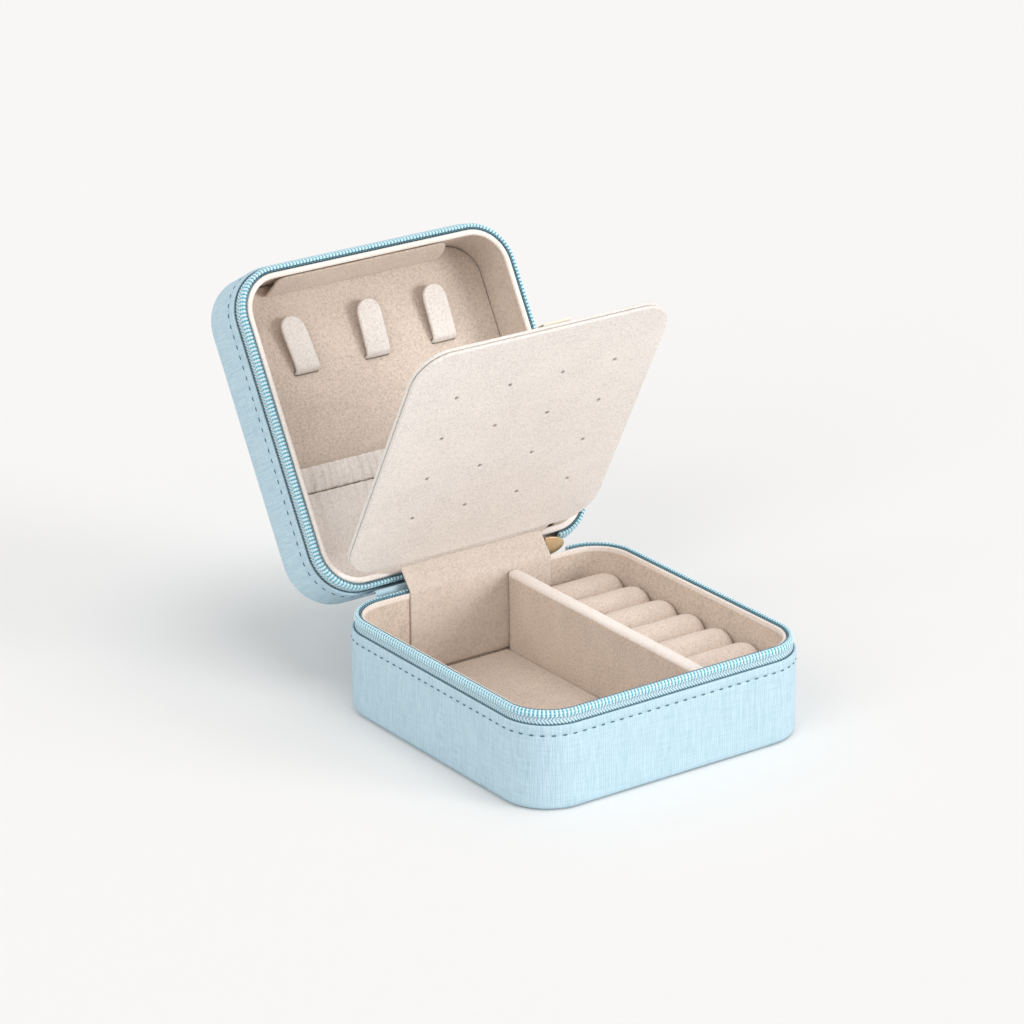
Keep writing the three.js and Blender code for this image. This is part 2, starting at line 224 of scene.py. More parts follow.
def card(name, outer, low, high, bevel, holes=(), steps=2):
    """Flat card of an outline in XY with holes, between two heights, with rounded edges."""
    curve = bpy.data.curves.new(name, "CURVE")
    curve.dimensions = "2D"
    curve.fill_mode = "BOTH"
    curve.extrude = (high - low) / 2 - bevel
    curve.bevel_depth = bevel
    curve.bevel_resolution = steps
    curve.offset = -bevel
    for points in (outer, *holes):
        spline = curve.splines.new("POLY")
        spline.points.add(len(points) - 1)
        for target, (x, y) in zip(spline.points, points):
            target.co = (x, y, 0, 1)
        spline.use_cyclic_u = True
    obj = bpy.data.objects.new(name, curve)
    bpy.context.scene.collection.objects.link(obj)
    graph = bpy.context.evaluated_depsgraph_get()
    mesh = bpy.data.meshes.new_from_object(obj.evaluated_get(graph))
    bpy.data.objects.remove(obj)
    bpy.data.curves.remove(curve)
    mesh.transform(Matrix.Translation((0, 0, (low + high) / 2)))
    tidy_mesh(mesh, 1e-4)
    level = mesh.attributes.new("level", "BOOLEAN", "FACE")
    level.data.foreach_set("value", [abs(face.normal.z) > 0.9999 for face in mesh.polygons])
    return mesh


def tidy_mesh(mesh, merge=1e-5):
    bm = bmesh.new()
    bm.from_mesh(mesh)
    bmesh.ops.remove_doubles(bm, verts=bm.verts, dist=merge)
    bmesh.ops.dissolve_degenerate(bm, edges=bm.edges, dist=merge)
    bmesh.ops.recalc_face_normals(bm, faces=bm.faces)
    bm.to_mesh(mesh)
    bm.free()
    return mesh


def joined(name, meshes):
    bm = bmesh.new()
    for mesh in meshes:
        bm.from_mesh(mesh)
    result = bpy.data.meshes.new(name)
    bm.to_mesh(result)
    bm.free()
    return result


def arc(x, y, r, start, end, steps):
    """Points of an arc in degrees, both ends included."""
    angles = [math.radians(start + (end - start) * i / steps) for i in range(steps + 1)]
    return [(x + r * math.cos(a), y + r * math.sin(a)) for a in angles]


def rounded(x0, x1, y0, y1, radii, steps=8):
    """Rectangle with corner radii in the order front-left, front-right, back-right, back-left."""
    a, b, c, d = radii
    return [
        *arc(x0 + a, y0 + a, a, 180, 270, steps),
        *arc(x1 - b, y0 + b, b, 270, 360, steps),
        *arc(x1 - c, y1 - c, c, 0, 90, steps),
        *arc(x0 + d, y1 - d, d, 90, 180, steps),
    ]


def ruffle(x, y, z, size, seed=0.0):
    """Smooth noise from about -1 to 1 at a given feature size in millimetres."""
    return noise.noise(Vector((x / size + seed, y / size - seed, z / size + 2 * seed)))


def piece(name, mesh, finish, body, replaces=(), place=None, sharp=50):
    """A finished piece at the origin, with its place in its mesh; a named body gets it as a child, any
    other body leaves it in place unattached.
    """
    mesh.name = name
    mesh.transform(MM @ (place or Matrix.Identity(4)))
    obj = bpy.data.objects.new(name, mesh)
    bpy.context.scene.collection.objects.link(obj)
    mesh.materials.clear()
    mesh.materials.append(finish)
    mesh.polygons.foreach_set("material_index", [0] * len(mesh.polygons))
    mesh.shade_smooth()
    mesh.set_sharp_from_angle(angle=math.radians(sharp))
    if "level" in mesh.attributes:
        level = [bool(entry.value) for entry in mesh.attributes["level"].data]
        mesh.polygons.foreach_set("use_smooth", [not flat for flat in level])
    if isinstance(body, str):
        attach(obj, body)
    else:
        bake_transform(obj)
    if replaces:
        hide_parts(*replaces)
    return obj


# ---- repeated details -----------------------------------------------------------


def repeat_tree():
    """Geometry Nodes: copies of an item spaced along a path, facing along it."""
    name = "repeat_along_path"
    if name in bpy.data.node_groups:
        return bpy.data.node_groups[name]
    tree = bpy.data.node_groups.new(name, "GeometryNodeTree")
    face = tree.interface
    kinds = (
        ("Path", "Geometry"),
        ("Item", "Object"),
        ("Spacing", "Float"),
        ("Skew", "Float"),
        ("Wobble", "Float"),
        ("Finish", "Material"),
    )
    for title, kind in kinds:
        socket = face.new_socket(title, in_out="INPUT", socket_type="NodeSocket" + kind)
        if title == "Spacing":
            socket.default_value = 1.0
        if title in ("Skew", "Wobble"):
            socket.subtype = "ANGLE"
    face.new_socket("Copies", in_out="OUTPUT", socket_type="NodeSocketGeometry")

    nodes, links = tree.nodes, tree.links
    given = nodes.new("NodeGroupInput")
    to_curve = nodes.new("GeometryNodeMeshToCurve")
    points = nodes.new("GeometryNodeCurveToPoints")
    points.mode = "LENGTH"
    turn = nodes.new("FunctionNodeAlignRotationToVector")
    turn.axis = "X"
    turn.pivot_axis = "Z"
    chance = nodes.new("FunctionNodeRandomValue")
    chance.data_type = "FLOAT"
    chance.inputs["Seed"].default_value = 7
    scatter = nodes.new("ShaderNodeMath")
    scatter.operation = "MULTIPLY_ADD"
    centred = nodes.new("ShaderNodeMath")
    centred.operation = "SUBTRACT"
    centred.inputs[1].default_value = 0.5
    spin = nodes.new("ShaderNodeCombineXYZ")
    as_turn = nodes.new("FunctionNodeEulerToRotation")
    both = nodes.new("FunctionNodeRotateRotation")
    both.rotation_space = "LOCAL"
    item = nodes.new("GeometryNodeObjectInfo")
    copies = nodes.new("GeometryNodeInstanceOnPoints")
    real = nodes.new("GeometryNodeRealizeInstances")
    dress = nodes.new("GeometryNodeSetMaterial")
    out = nodes.new("NodeGroupOutput")

    for source, target in (
        (given.outputs["Path"], to_curve.inputs[0]),
        (to_curve.outputs[0], points.inputs["Curve"]),
        (given.outputs["Spacing"], points.inputs["Length"]),
        (points.outputs["Points"], copies.inputs["Points"]),
        (points.outputs["Tangent"], turn.inputs["Vector"]),
        (chance.outputs[1], centred.inputs[0]),
        (centred.outputs[0], scatter.inputs[0]),
        (given.outputs["Wobble"], scatter.inputs[1]),
        (given.outputs["Skew"], scatter.inputs[2]),
        (scatter.outputs[0], spin.inputs["Z"]),
        (spin.outputs[0], as_turn.inputs[0]),
        (turn.outputs[0], both.inputs[0]),
        (as_turn.outputs[0], both.inputs[1]),
        (both.outputs[0], copies.inputs["Rotation"]),
        (given.outputs["Item"], item.inputs["Object"]),
        (item.outputs["Geometry"], copies.inputs["Instance"]),
        (copies.outputs[0], real.inputs[0]),
        (real.outputs[0], dress.inputs["Geometry"]),
        (given.outputs["Finish"], dress.inputs["Material"]),
        (dress.outputs[0], out.inputs[0]),
    ):
        links.new(source, target)
    return tree


def repeated(name, path, item, spacing, finish, skew=0.0, wobble=0.0, closed=False):
    """Mesh of an item mesh repeated along path points, made by the node tree."""
    line = bpy.data.meshes.new(name)
    count = len(path)
    edges = [(i, (i + 1) % count) for i in range(count if closed else count - 1)]
    line.from_pydata([tuple(p) for p in path], edges, [])
    model = bpy.data.objects.new("item", item)
    bpy.context.scene.collection.objects.link(model)
    tree = repeat_tree()
    sockets = {s.name: s.identifier for s in tree.interface.items_tree if s.in_out == "INPUT"}

    def add(obj):
        made = obj.modifiers.new("repeat", "NODES")
        made.node_group = tree
        made[sockets["Item"]] = model
        made[sockets["Spacing"]] = spacing
        made[sockets["Skew"]] = math.radians(skew)
        made[sockets["Wobble"]] = math.radians(wobble)
        made[sockets["Finish"]] = finish

    result = with_modifiers(line, add)
    bpy.data.objects.remove(model)
    return result


def capsule(length, radius, sides=6, flat=1.0):
    """A small thread stitch lying along X."""
    half = length / 2
    rows = []
    for reach, r in ((-1, 0.25), (-0.82, 0.8), (-0.4, 1.0), (0.4, 1.0), (0.82, 0.8), (1, 0.25)):
        ring = []
        for k in range(sides):
            a = 2 * math.pi * k / sides
            ring.append((half * reach, radius * r * math.cos(a), radius * r * flat * math.sin(a)))
        rows.append(ring)
    return grid_mesh("stitch", rows, wrap_columns=True)


# ---- finishes ---------------------------------------------------------------------


class Finish:
    """A material with its Principled shader and small helpers for nodes."""

    def __init__(self, name, colour, roughness, specular=0.5):
        self.material = bpy.data.materials.new(name)
        self.material.use_nodes = True
        self.nodes = self.material.node_tree.nodes
        self.links = self.material.node_tree.links
        self.shader = self.nodes["Principled BSDF"]
        self.shader.inputs["Base Color"].default_value = (*colour, 1)
        self.shader.inputs["Roughness"].default_value = roughness
        self.shader.inputs["Specular IOR Level"].default_value = specular
        self.height = None

    def node(self, kind, **settings):
        made = self.nodes.new(kind)
        for key, value in settings.items():
            setattr(made, key, value)
        return made

    def join(self, source, target):
        self.links.new(source, target)

    def coords(self, scale=(1, 1, 1), kind="Object", turn=0.0):
        source = self.node("ShaderNodeTexCoord").outputs[kind]
        mapping = self.node("ShaderNodeMapping")
        mapping.inputs["Scale"].default_value = scale
        mapping.inputs["Rotation"].default_value = (0, 0, math.radians(turn))
        self.join(source, mapping.inputs["Vector"])
        return mapping.outputs[0]

    def noise(self, vector, scale=1.0, detail=2.0, rough=0.5):
        made = self.node("ShaderNodeTexNoise")
        made.inputs["Scale"].default_value = scale
        made.inputs["Detail"].default_value = detail
        made.inputs["Roughness"].default_value = rough
        self.join(vector, made.inputs["Vector"])
        return made.outputs["Fac"]

    def math(self, operation, a, b=None, c=None):
        made = self.node("ShaderNodeMath", operation=operation)
        for socket, value in zip(made.inputs, (a, b, c)):
            if value is None:
                continue
            if isinstance(value, (int, float)):
                socket.default_value = value
            else:
                self.join(value, socket)
        return made.outputs[0]

    def ramp(self, value, stops):
        made = self.node("ShaderNodeValToRGB")
        elements = made.color_ramp.elements
        while len(elements) < len(stops):
            elements.new(0.5)
        for element, (position, colour) in zip(elements, stops):
            element.position = position
            element.color = (*colour, 1)
        self.join(value, made.inputs["Fac"])
        return made.outputs["Color"]

    def colour(self, source):
        self.join(source, self.shader.inputs["Base Color"])

    def roughness(self, source, low, high):
        made = self.node("ShaderNodeMapRange")
        made.inputs["To Min"].default_value = low
        made.inputs["To Max"].default_value = high
        self.join(source, made.inputs["Value"])
        self.join(made.outputs[0], self.shader.inputs["Roughness"])

    def bump(self, height, distance, strength=1.0):
        made = self.node("ShaderNodeBump")
        made.inputs["Distance"].default_value = distance
        made.inputs["Strength"].default_value = strength
        self.join(height, made.inputs["Height"])
        if self.height is not None:
            self.join(self.height, made.inputs["Normal"])
        self.height = made.outputs[0]
        self.join(made.outputs[0], self.shader.inputs["Normal"])


def shade(colour, factor):
    return tuple(min(1.0, c * factor) for c in colour)


def leather_finish(colour):
    """Leatherette embossed with an uneven woven cross-grain, read from the weave UV in metres."""
    f = Finish("leatherette", colour, 0.5, 0.4)
    split = f.node("ShaderNodeSeparateXYZ")
    f.join(f.coords((1400, 1400, 1), "UV"), split.inputs[0])
    upright = f.noise(f.coords((1700, 110, 1), "UV"), 1, 1, 0.5)
    level = f.noise(f.coords((130, 1900, 1), "UV"), 1, 1, 0.5)
    pebble = f.noise(f.coords((2600, 2600, 2600)), 1, 2, 0.6)
    warp = f.math("ADD", split.outputs["X"], f.math("MULTIPLY", upright, 2.4))
    ribs = f.math("MULTIPLY", f.math("PINGPONG", warp, 0.5), 2.0)
    threads = f.math("ADD", f.math("MULTIPLY", ribs, 0.3), f.math("MULTIPLY", level, 0.4))
    weave = f.math("ADD", threads, f.math("MULTIPLY", upright, 0.3))
    low = (0.82 * colour[0], 0.88 * colour[1], 0.92 * colour[2])
    f.colour(f.ramp(weave, [(0.3, low), (0.5, shade(colour, 0.99)), (0.68, shade(colour, 1.08))]))
    f.roughness(weave, 0.62, 0.42)
    f.bump(weave, 0.00022, 0.8)
    f.bump(pebble, 0.00006, 0.5)
    return f.material


def velvet_finish(name, colour, nap=1.0, rim=None):
    """Short-pile microsuede: fine speckle, brushed patches and a soft sheen.

    rim is the stretch, in metres across the weave UV, lightened as a painted highlight on the rolled rims
    and the divider's top.
    """
    f = Finish(name, colour, 0.95, 0.15)
    f.shader.inputs["Sheen Weight"].default_value = 0.35
    f.shader.inputs["Sheen Roughness"].default_value = 0.45
    f.shader.inputs["Sheen Tint"].default_value = (1.0, 0.97, 0.94, 1)
    speck = f.noise(f.coords((1500, 1500, 1500)), 1, 3, 0.75)
    brushed = f.noise(f.coords((90, 150, 120), turn=20), 1, 3, 0.55)
    broad = f.noise(f.coords((28, 28, 28)), 1, 2, 0.5)
    tone = f.math("ADD", f.math("MULTIPLY", speck, 0.76), f.math("MULTIPLY", brushed, 0.14))
    tone = f.math("ADD", tone, f.math("MULTIPLY", broad, 0.1))
    low, high = 1 - 0.30 * nap, 1 + 0.17 * nap
    stops = [(0.34, shade(colour, low)), (0.5, colour), (0.66, shade(colour, high))]
    # painted highlight: the rim band across the weave is lifted toward a lighter, whiter stop
    if rim:
        across = f.node("ShaderNodeSeparateXYZ")
        f.join(f.coords((1000, 1000, 1), "UV"), across.inputs[0])
        middle, half = 500 * (rim[0] + rim[1]), 500 * (rim[1] - rim[0])
        away = f.math("ABSOLUTE", f.math("SUBTRACT", across.outputs["Y"], middle))
        painted_highlight = f.math("MULTIPLY", f.math("SUBTRACT", half + 0.6, away), 0.7)
        painted_highlight = f.math("MINIMUM", f.math("MAXIMUM", painted_highlight, 0.0), 0.34)
        tone = f.math("ADD", tone, painted_highlight)
        stops.append((0.88, shade((colour[0] * 1.0, colour[1] * 1.1, colour[2] * 1.22), 1.32)))
    f.colour(f.ramp(tone, stops))
    f.bump(broad, 0.0009, 0.35)
    f.bump(speck, 0.0002, 0.8)
    return f.material


def tape_finish(colour, shaded):
    """Zipper tape from the weave UV in metres: slanted ribs outside; painted shade darkens the plain back
    and the tape towards its foot.
    """
    f = Finish("zipper_tape", colour, 0.85, 0.2)
    split = f.node("ShaderNodeSeparateXYZ")
    f.join(f.coords((1000, 1000, 1), "UV"), split.inputs[0])
    column = f.math("PINGPONG", split.outputs["Y"], 1.3)
    phase = f.math("ADD", f.math("MULTIPLY", split.outputs["X"], 1.05), f.math("MULTIPLY", column, 0.8))
    ribs = f.math("MULTIPLY", f.math("PINGPONG", phase, 0.5), 2.0)
    fuzz = f.noise(f.coords((2400, 2400, 2400)), 1, 2, 0.6)
    # painted shade: darker towards the tape's foot, beside the leather edge
    near = f.math("MULTIPLY", f.math("SUBTRACT", 0.55, split.outputs["Y"]), 1.5)
    near = f.math("MAXIMUM", near, 0.0)
    tone = f.math("ADD", f.math("MULTIPLY", ribs, 0.8), f.math("MULTIPLY", fuzz, 0.2))
    tone = f.math("SUBTRACT", tone, near)
    # painted shade: the back of the tape, facing the lining, is darkened
    back = f.math("GREATER_THAN", split.outputs["Y"], 4.4)
    tone = f.math("SUBTRACT", tone, f.math("MULTIPLY", back, 0.6))
    # the darkest stop is painted shade for the back, the foot and the grooves between the ribs
    f.colour(f.ramp(tone, [(0.0, shaded), (0.28, shade(colour, 0.7)), (0.6, shade(colour, 1.06))]))
    f.bump(ribs, 0.0003, 1.0)
    return f.material


def coil_finish(name, colour, roughness):
    """Nylon filament with faint streaks along each turn."""
    f = Finish(name, colour, roughness, 0.5)
    streak = f.noise(f.coords((1500, 1500, 4200)), 1, 2, 0.5)
    f.colour(f.ramp(streak, [(0.3, shade(colour, 0.86)), (0.6, colour), (0.75, shade(colour, 1.06))]))
    f.bump(streak, 0.00004, 0.6)
    return f.material


def thread_finish(name, colour):
    """Twisted sewing thread."""
    f = Finish(name, colour, 0.6, 0.3)
    twist = f.noise(f.coords((3500, 3500, 3500)), 1, 2, 0.5)
    f.colour(f.ramp(twist, [(0.3, shade(colour, 0.6)), (0.7, shade(colour, 1.35))]))
    f.bump(twist, 0.00008, 0.8)
    return f.material


def ribbon_finish(colour):
    """Satin ribbon with fine cross ribs."""
    f = Finish("satin_ribbon", colour, 0.42, 0.4)
    f.shader.inputs["Sheen Weight"].default_value = 0.2
    split = f.node("ShaderNodeSeparateXYZ")
    f.join(f.coords((1000, 1000, 1), "UV"), split.inputs[0])
    ribs = f.math("PINGPONG", f.math("MULTIPLY", split.outputs["X"], 3.0), 0.5)
    mottled = f.noise(f.coords((300, 300, 300)), 1, 2, 0.5)
    f.colour(f.ramp(mottled, [(0.3, shade(colour, 0.9)), (0.7, shade(colour, 1.05))]))
    f.bump(ribs, 0.00006, 0.6)
    return f.material


def metal_finish(name, colour, roughness, metallic, worn):
    """Coated metal with fine brushing and slightly worn high spots."""
    f = Finish(name, colour, roughness, 0.5)
    f.shader.inputs["Metallic"].default_value = metallic
    brush = f.noise(f.coords((400, 400, 5200)), 1, 3, 0.6)
    patch = f.noise(f.coords((350, 350, 350)), 1, 3, 0.6)
    f.colour(f.ramp(patch, [(0.3, shade(colour, 0.88)), (0.6, colour), (0.8, shade(colour, worn))]))
    f.roughness(brush, roughness - 0.08, roughness + 0.14)
    f.bump(brush, 0.00002, 0.5)
    return f.material


def board_finish(colour):
    """Pressed grey board with flecks and fibres."""
    f = Finish("pressed_board", colour, 0.95, 0.1)
    fibre = f.noise(f.coords((900, 200, 900), turn=15), 1, 4, 0.7)
    fleck = f.noise(f.coords((1600, 1600, 1600)), 1, 2, 0.5)
    tone = f.math("ADD", f.math("MULTIPLY", fibre, 0.6), f.math("MULTIPLY", fleck, 0.4))
    f.colour(f.ramp(tone, [(0.35, shade(colour, 0.7)), (0.5, colour), (0.65, shade(colour, 1.25))]))
    f.bump(tone, 0.0001, 0.6)
    return f.material


def floor_finish(colour):
    """Smooth matt table top."""
    f = Finish("table_top", colour, 0.9, 0.05)
    grain = f.noise(f.coords((40, 40, 40)), 1, 2, 0.5)
    f.colour(f.ramp(grain, [(0.0, shade(colour, 0.998)), (1.0, shade(colour, 1.002))]))
    return f.material


FINISHES = {}


# each velvet: material, colour in the panel, depth of the nap, band of painted highlight across the weave
# in metres
VELVETS = {
    "velvet": ("velvet", "velvet", 1.0, None),
    "base_lining": ("velvet_base", "velvet", 1.0, (0.0258, 0.0284)),
    "lid_lining": ("velvet_lid", "velvet", 1.0, (0.0168, 0.0198)),
    "divider": ("velvet_divider", "velvet", 1.0, (0.0246, 0.0288)),
    "roll": ("velvet_rolls", "roll", 0.8, None),
    "strap": ("velvet_strap", "strap", 0.8, None),
    "flap": ("velvet_flap", "flap", 0.7, None),
}
BOARD_COLOUR = (0.33, 0.30, 0.26)


def new_finish(name):
    look = bpy.context.scene.jewelry_case_look

    def colour(part):
        return tuple(getattr(look, part + "_colour"))

    if name in VELVETS:
        title, part, nap, rim = VELVETS[name]
        return velvet_finish(title, colour(part), nap, rim)
    return {
        "leather": lambda: leather_finish(colour("leather")),
        "tape": lambda: tape_finish(colour("tape"), colour("shade")),
        "coil": lambda: coil_finish("coil_nylon", colour("coil"), 0.4),
        "core": lambda: coil_finish("coil_cord", colour("core"), 0.8),
        "thread": lambda: thread_finish("seam_thread", colour("thread")),
        "hem_thread": lambda: thread_finish("hem_thread", colour("hem_thread")),
        "ribbon": lambda: ribbon_finish(colour("ribbon")),
        "slider": lambda: metal_finish("dark_enamel", colour("slider"), 0.4, 0.8, 2.2),
        "pull": lambda: metal_finish("champagne_metal", colour("pull"), 0.42, 0.75, 1.1),
        "board": lambda: board_finish(BOARD_COLOUR),
    }[name]()


def finish(name):
    """The named finish, made once from the colours in the panel."""
    if name not in FINISHES:
        FINISHES[name] = new_finish(name)
    return FINISHES[name]


# ---- settings shown in the panel ------------------------------------------------------


def colour_setting(name, description, value):
    return bpy.props.FloatVectorProperty(
        name=name, description=description, subtype="COLOR", size=3, min=0, max=1, default=value
    )


def size_setting(name, description, value):
    return bpy.props.FloatProperty(
        name=name, description=description, default=value, min=0, subtype="DISTANCE", unit="LENGTH"
    )


def strength_setting(name, description, value):
    return bpy.props.FloatProperty(name=name, description=description, default=value, min=0)


class JewelryCaseLook(bpy.types.PropertyGroup):
    """Colours of the case."""

    leather_colour: colour_setting("Leather", "Colour of the outer leatherette", (0.49, 0.655, 0.735))
    velvet_colour: colour_setting("Velvet", "Colour of the lining", (0.68, 0.575, 0.49))
    roll_colour: colour_setting("Rolls", "Colour of the ring rolls", (0.76, 0.64, 0.55))
    flap_colour: colour_setting("Flap", "Colour of the flap, hooks and pocket", (0.80, 0.745, 0.70))
    strap_colour: colour_setting("Strap", "Colour of the strap", (0.69, 0.60, 0.52))
    tape_colour: colour_setting("Tape", "Colour of the raised ribs of the zipper tape", (0.62, 0.82, 0.90))
    # Tape back: painted shade colour for the tape's back, its foot and the grooves between its ribs
    shade_colour: colour_setting("Tape back", "Colour of the tape's grooves and back", (0.07, 0.22, 0.30))
    coil_colour: colour_setting("Coil", "Colour of the zipper coil", (0.66, 0.85, 0.91))
    core_colour: colour_setting("Coil cord", "Colour of the cord inside the coil", (0.10, 0.42, 0.55))
    thread_colour: colour_setting("Seam thread", "Colour of the seam on the leather", (0.03, 0.13, 0.18))
    hem_thread_colour: colour_setting("Hem thread", "Colour of the pocket seam", (0.50, 0.41, 0.33))
    ribbon_colour: colour_setting("Ribbon", "Colour of the ribbon loop", (0.86, 0.80, 0.66))
    slider_colour: colour_setting("Slider", "Colour of the zipper slider", (0.035, 0.04, 0.045))
    pull_colour: colour_setting("Pull", "Colour of the zipper pull", (0.72, 0.52, 0.30))


class JewelryCaseSizes(bpy.types.PropertyGroup):
    """Sizes of the repeated details."""

    coil_pitch: size_setting("Coil pitch", "Distance between two turns of the zipper coil", 0.00116)
    stitch_pitch: size_setting("Stitch pitch", "Distance between two seam stitches", 0.0032)
    stitch_length: size_setting("Stitch length", "Visible length of one seam stitch", 0.0013)
    stitch_drop: size_setting("Seam drop", "Distance from the leather edge to the seam", 0.0030)
    hem_stitch: size_setting("Hem stitch", "Distance between two hem stitches", 0.0022)


class JewelryCaseStage(bpy.types.PropertyGroup):
    """Light and floor."""

    front_strength: strength_setting("Front light", "Low soft light", 1.5)
    top_strength: strength_setting("Top light", "High soft light", 0.85)
    side_strength: strength_setting("Side light", "Light from the left", 0.72)
    sky_strength: strength_setting("Sky", "Strength of the even light", 0.64)
    floor_colour: colour_setting("Floor", "Colour of the table top", (0.845, 0.835, 0.825))


# ---- stage ------------------------------------------------------------------------------


CAMERA_TURN = (-35.421, 21.274, -0.326)
CAMERA_TARGET = Vector((-0.021182, 0, 0.069096))
CAMERA_DISTANCE = 1.24762
SENSOR = 36
LENS = 154.99
TABLE_HALF = 12.0


class JC_OT_stage(bpy.types.Operator):
    """Camera, table top, three soft lights and even sky"""

    bl_idname = "jewelry_case.stage"
    bl_label = "Stage"

    def execute(self, context):
        scene = context.scene
        stage = scene.jewelry_case_stage
        a, e, roll = (math.radians(v) for v in CAMERA_TURN)
        back = Vector((math.sin(a) * math.cos(e), -math.cos(a) * math.cos(e), math.sin(e)))
        right = Vector((math.cos(a), math.sin(a), 0))
        up = back.cross(right)
        rolled_right = right * math.cos(roll) + up * math.sin(roll)
        rolled_up = up * math.cos(roll) - right * math.sin(roll)
        place = Matrix((rolled_right, rolled_up, back)).transposed().to_4x4()
        place.translation = CAMERA_TARGET + back * CAMERA_DISTANCE
        lens = bpy.data.cameras.new("camera")
        lens.sensor_width = SENSOR
        lens.lens = LENS
        lens.clip_start = 0.01
        lens.clip_end = 50
        camera = bpy.data.objects.new("camera", lens)
        camera.matrix_world = place
        scene.collection.objects.link(camera)
        scene.camera = camera

        half = TABLE_HALF
        ground = bpy.data.meshes.new("table_top")
        corners = [(-half, -half, 0), (half, -half, 0), (half, half, 0), (-half, half, 0)]
        ground.from_pydata(corners, [], [(0, 1, 2, 3)])
        floor = bpy.data.objects.new("table_top", ground)
        scene.collection.objects.link(floor)
        ground.materials.append(floor_finish(tuple(stage.floor_colour)))

        for name, strength, spread, direction in (
            ("front_light", stage.front_strength, 24, (0.50, -0.80, 0.20)),
            ("top_light", stage.top_strength, 35, (0.10, -0.20, 1.0)),
            ("side_light", stage.side_strength, 40, (-0.80, -0.30, 0.50)),
        ):
            sun = bpy.data.lights.new(name, "SUN")
            sun.energy = strength
            sun.angle = math.radians(spread)
            lamp = bpy.data.objects.new(name, sun)
            lamp.rotation_euler = Vector(direction).to_track_quat("Z", "Y").to_euler()
            scene.collection.objects.link(lamp)

        sky = bpy.data.worlds.new("sky")
        sky.use_nodes = True
        glow = sky.node_tree.nodes["Background"]
        glow.inputs["Color"].default_value = (1, 1, 1, 1)
        glow.inputs["Strength"].default_value = stage.sky_strength
        scene.world = sky
        scene.view_settings.view_transform = "Standard"
        return {"FINISHED"}


# ---- outer shells -------------------------------------------------------------------------


def shell_profile(height, drop):
    """Half section (inset, z) of a leather tray from its outer to its inner floor."""
    seam = height - drop
    outside = [(8.0, 0.0), (2.6, 0.0)]
    outside += [(2.2 + x, 2.2 + z) for x, z in arc(0, 0, 2.2, 270, 180, 6)]
    outside += [(0.0, 5.0), (0.0, seam / 2), (0.0, seam - 0.8), (0.03, seam - 0.45)]
    outside += [(0.16, seam - 0.2), (0.22, seam), (0.16, seam + 0.2), (0.0, seam + 0.5)]
    outside += [(-0.06, seam + 1.2), (-0.02, height - 0.95)]
    rim = [(0.45 + x, height - 0.5 + z) for x, z in arc(0, 0, 0.45, 180, 0, 8)]
    inside = [(0.9, height - 3.0), (0.9, 3.0), (1.1, 1.5), (1.8, 0.9), (8.0, 0.9)]
    return outside + rim + inside


class JC_OT_shells(bpy.types.Operator):
    """Leather trays of the base and the lid"""

    bl_idname = "jewelry_case.shells"
    bl_label = "Leather Shells"

    def execute(self, context):
        drop = context.scene.jewelry_case_sizes.stitch_drop * 1000
        path = plan(14, 18)
        for body, height in (("base", SKIN_TOP), ("lid", TOTAL - LID_SKIN)):
            name = f"{body}_shell"
            profile = shell_profile(height, drop)
            if body == "lid":
                profile = [(inset, TOTAL - z) for inset, z in profile]
            mesh = sweep(name, path, profile, loop_profile=False)
            level_weave(mesh)
            piece(name, mesh, finish("leather"), body, (f"{body}_cover",), PLACE[body], 60)
        return {"FINISHED"}


class JC_OT_seams(bpy.types.Operator):
    """Rows of thread stitches round the base and the lid"""

    bl_idname = "jewelry_case.seams"
    bl_label = "Leather Seams"

    def execute(self, context):
        sizes = context.scene.jewelry_case_sizes
        drop = sizes.stitch_drop * 1000
        stitch = capsule(sizes.stitch_length * 1000, 0.2, 6, 0.9)
        for body, z in (("base", SKIN_TOP - drop), ("lid", LID_SKIN + drop)):
            name = f"{body}_seam"
            path = [(x, y, z) for x, y in outline(0.14, 14, 18)]
            mesh = repeated(
                name, path, stitch, sizes.stitch_pitch * 1000, finish("thread"), wobble=7, closed=True
            )
            piece(name, mesh, finish("thread"), body, (), PLACE[body], 60)
        return {"FINISHED"}


class JC_OT_hinge_strip(bpy.types.Operator):
    """Leather strip behind the hinge, bending from the base to the lid"""

    bl_idname = "jewelry_case.hinge_strip"
    bl_label = "Hinge Strip"

    def execute(self, context):
        low = [(51.15, z) for z in (23.4, 25.0, 27.0, 28.8, 29.8)]
        fold = [(51.2, 30.35), (51.42, 30.72), (51.72, 30.8)]
        high = []
        for z in (30.95, 31.8, 33.4, 35.4, 37.4):
            p = LID @ Vector((0, 51.15, z))
            high.append((p.y, p.z))
        rows = []
        for x in np.linspace(*HINGE_STRIP, 30):
            rows.append([(x, y, z) for y, z in low + fold + high])
        mesh = soft(grid_mesh("hinge_strip", rows), 0.55, 1)
        bend = ("base", "lid", (0, 0.0512, 0.0304), (0, 0.0528, 0.0304))
        nodes = ("base_hinge_strip", "lid_hinge_strip")
        piece("hinge_strip", mesh, finish("leather"), bend, nodes)
        return {"FINISHED"}


# ---- zipper ---------------------------------------------------------------------------------


# x of the zipper's two ends on the hinge side; the slider lies in the gap between them
TRACK_LEFT = -21.0
TRACK_RIGHT = {"base": 34.2, "lid": 35.0}


